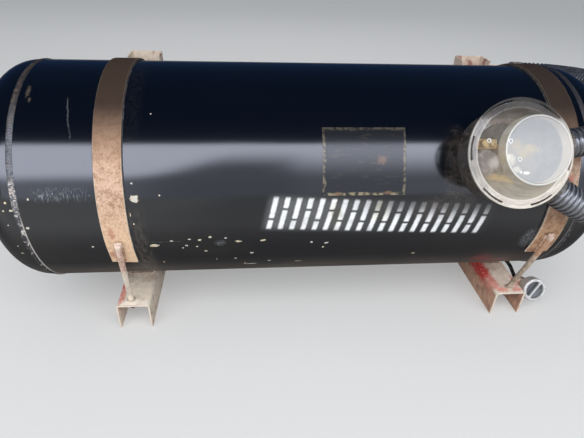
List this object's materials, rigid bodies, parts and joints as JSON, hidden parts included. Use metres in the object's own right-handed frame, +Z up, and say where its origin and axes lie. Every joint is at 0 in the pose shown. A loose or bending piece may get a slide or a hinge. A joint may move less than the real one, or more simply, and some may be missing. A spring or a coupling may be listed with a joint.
{
  "type": "underfloor gas fuel tank assembly",
  "caption": "Cylindrical gas fuel tank slung under a truck body: straps and channel brackets hold it, with a valve housing, vent hoses and a filler valve.",
  "frame": {"origin": "centre of the four chassis bolt holes, on the inboard faces of the two posts", "axes": "+X along the tank towards the valve end, +Y inboard towards the chassis rail, +Z up"},
  "size_m": [1.2002, 0.5517, 0.4665],
  "materials": {
    "tank_paint": "gloss black paint with chips and dust",
    "strap_steel": "rusted and dusty",
    "liner_rubber": "matt",
    "fastener_steel": "dulled zinc",
    "bracket_paint": "worn red paint under dust and rust",
    "neck_steel": "dull",
    "brass": "dull",
    "coil_resin": "matt",
    "housing_plastic": "black, dusty",
    "lid_plastic": "cloudy and translucent",
    "hose_plastic": "corrugated",
    "cap_metal": "worn, dull",
    "pipe_coating": "smooth"
  },
  "bodies": {
    "root": {"beam_left": "bracket_paint", "beam_right": "bracket_paint", "filler_body": "brass", "filler_lock_nut": "fastener_steel", "filler_pipe": "pipe_coating", "filler_tab": "bracket_paint", "gusset_left": "bracket_paint", "gusset_right": "bracket_paint", "hose_clips": "fastener_steel", "hose_stays": "bracket_paint", "housing_base": "housing_plastic", "outlet_pipe": "pipe_coating", "post_left": "bracket_paint", "post_right": "bracket_paint", "rod_nuts_left": "fastener_steel", "rod_nuts_right": "fastener_steel", "rod_washers_left": "fastener_steel", "rod_washers_right": "fastener_steel", "saddle_left": "bracket_paint", "saddle_pad_left": "liner_rubber", "saddle_pad_right": "liner_rubber", "saddle_right": "bracket_paint", "strap_left": "strap_steel", "strap_liner_left": "liner_rubber", "strap_liner_right": "liner_rubber", "strap_right": "strap_steel", "tank_barrel": "tank_paint", "tank_head_left": "tank_paint", "tank_head_right": "tank_paint", "valve_body": "brass", "valve_coil": "coil_resin", "valve_flange": "brass", "valve_neck": "neck_steel", "valve_taps": "brass", "vent_hose_lower": "hose_plastic", "vent_hose_upper": "hose_plastic"},
    "lid": {"housing_lid": "lid_plastic"},
    "cap": {"filler_cap": "cap_metal"}
  },
  "joints": [
    {"name": "lid_lift_off", "type": "slide", "parent": "root", "child": "lid", "axis": [0, -0.859, 0.512], "range_m": [0, 0.1]},
    {"name": "filler_cap_turn", "type": "hinge", "parent": "root", "child": "cap", "pos_m": [0.43725, -0.4222, -0.231], "axis": [0, -0.9272, 0.3746], "continuous": true}
  ]
}
